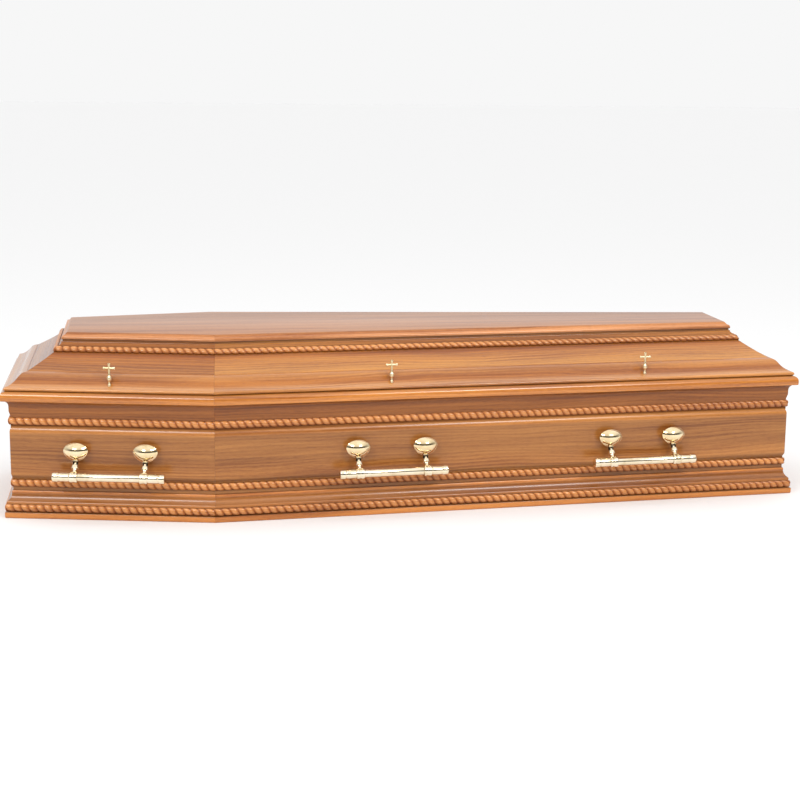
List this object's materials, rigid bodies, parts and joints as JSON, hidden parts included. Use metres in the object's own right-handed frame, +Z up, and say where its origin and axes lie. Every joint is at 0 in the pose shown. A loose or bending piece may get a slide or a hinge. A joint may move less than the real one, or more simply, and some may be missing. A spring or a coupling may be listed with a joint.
{
  "type": "coffin",
  "caption": "Shouldered wooden coffin with raised side panels, rope mouldings, a stepped lift-off lid, swinging brass bar handles and cross-headed lid screws.",
  "frame": {"origin": "under the middle of the overall box, on the plane the plinth rests on", "axes": "+X along the length from the head end to the foot end, +Z up, the pictured side faces -Y"},
  "size_m": [2.041, 0.7444, 0.441],
  "materials": {
    "wall_oak": "lacquered, semi-gloss, warm brown, grain along the boards",
    "plinth_oak": "lacquered, semi-gloss, warm brown",
    "floor_wood": "bare board",
    "rope_oak": "lacquered, semi-gloss, slightly lighter",
    "lid_frame_oak": "lacquered, glossy, warm brown",
    "lid_slope_oak": "lacquered, glossy, warm brown",
    "lid_top_oak": "lacquered, glossy",
    "lid_rope_oak": "lacquered, semi-gloss, slightly lighter",
    "knob_brass": "polished, pale gold",
    "handle_brass": "polished, pale gold",
    "cross_brass": "polished, pale gold"
  },
  "bodies": {
    "coffin": {"cross_left_1": "cross_brass", "cross_left_2": "cross_brass", "cross_left_3": "cross_brass", "cross_right_1": "cross_brass", "cross_right_2": "cross_brass", "cross_right_3": "cross_brass", "floor_board": "floor_wood", "knob_left_1a": "knob_brass", "knob_left_1b": "knob_brass", "knob_left_2a": "knob_brass", "knob_left_2b": "knob_brass", "knob_left_3a": "knob_brass", "knob_left_3b": "knob_brass", "knob_right_1a": "knob_brass", "knob_right_1b": "knob_brass", "knob_right_2a": "knob_brass", "knob_right_2b": "knob_brass", "knob_right_3a": "knob_brass", "knob_right_3b": "knob_brass", "lid_frame_foot": "lid_frame_oak", "lid_frame_head": "lid_frame_oak", "lid_frame_shoulder_left": "lid_frame_oak", "lid_frame_shoulder_right": "lid_frame_oak", "lid_frame_side_left": "lid_frame_oak", "lid_frame_side_right": "lid_frame_oak", "lid_slope_foot": "lid_slope_oak", "lid_slope_head": "lid_slope_oak", "lid_slope_shoulder_left": "lid_slope_oak", "lid_slope_shoulder_right": "lid_slope_oak", "lid_slope_side_left": "lid_slope_oak", "lid_slope_side_right": "lid_slope_oak", "lid_top_board": "lid_top_oak", "plinth_foot": "plinth_oak", "plinth_head": "plinth_oak", "plinth_shoulder_left": "plinth_oak", "plinth_shoulder_right": "plinth_oak", "plinth_side_left": "plinth_oak", "plinth_side_right": "plinth_oak", "rope_lid": "lid_rope_oak", "rope_lower": "rope_oak", "rope_plinth": "rope_oak", "rope_upper": "rope_oak", "wall_foot": "wall_oak", "wall_head": "wall_oak", "wall_shoulder_left": "wall_oak", "wall_shoulder_right": "wall_oak", "wall_side_left": "wall_oak", "wall_side_right": "wall_oak"},
    "handle_left_1": {"handle_left_1": "handle_brass"},
    "handle_left_2": {"handle_left_2": "handle_brass"},
    "handle_left_3": {"handle_left_3": "handle_brass"},
    "handle_right_1": {"handle_right_1": "handle_brass"},
    "handle_right_2": {"handle_right_2": "handle_brass"},
    "handle_right_3": {"handle_right_3": "handle_brass"}
  },
  "joints": [
    {"name": "handle_right_1_swing", "type": "hinge", "parent": "coffin", "child": "handle_right_1", "pos_m": [-0.75733, -0.31137, 0.1429], "axis": [-0.9801, 0.1984, 0], "range_deg": [0, 52]},
    {"name": "handle_right_2_swing", "type": "hinge", "parent": "coffin", "child": "handle_right_2", "pos_m": [-0.06769, -0.32578, 0.1429], "axis": [-0.9966, -0.0821, 0], "range_deg": [0, 52]},
    {"name": "handle_right_3_swing", "type": "hinge", "parent": "coffin", "child": "handle_right_3", "pos_m": [0.59118, -0.27154, 0.1429], "axis": [-0.9966, -0.0821, 0], "range_deg": [0, 52]},
    {"name": "handle_left_1_swing", "type": "hinge", "parent": "coffin", "child": "handle_left_1", "pos_m": [-0.75733, 0.31137, 0.1429], "axis": [0.9801, 0.1984, 0], "range_deg": [0, 52]},
    {"name": "handle_left_2_swing", "type": "hinge", "parent": "coffin", "child": "handle_left_2", "pos_m": [-0.06769, 0.32578, 0.1429], "axis": [0.9966, -0.0821, 0], "range_deg": [0, 52]},
    {"name": "handle_left_3_swing", "type": "hinge", "parent": "coffin", "child": "handle_left_3", "pos_m": [0.59118, 0.27154, 0.1429], "axis": [0.9966, -0.0821, 0], "range_deg": [0, 52]}
  ]
}
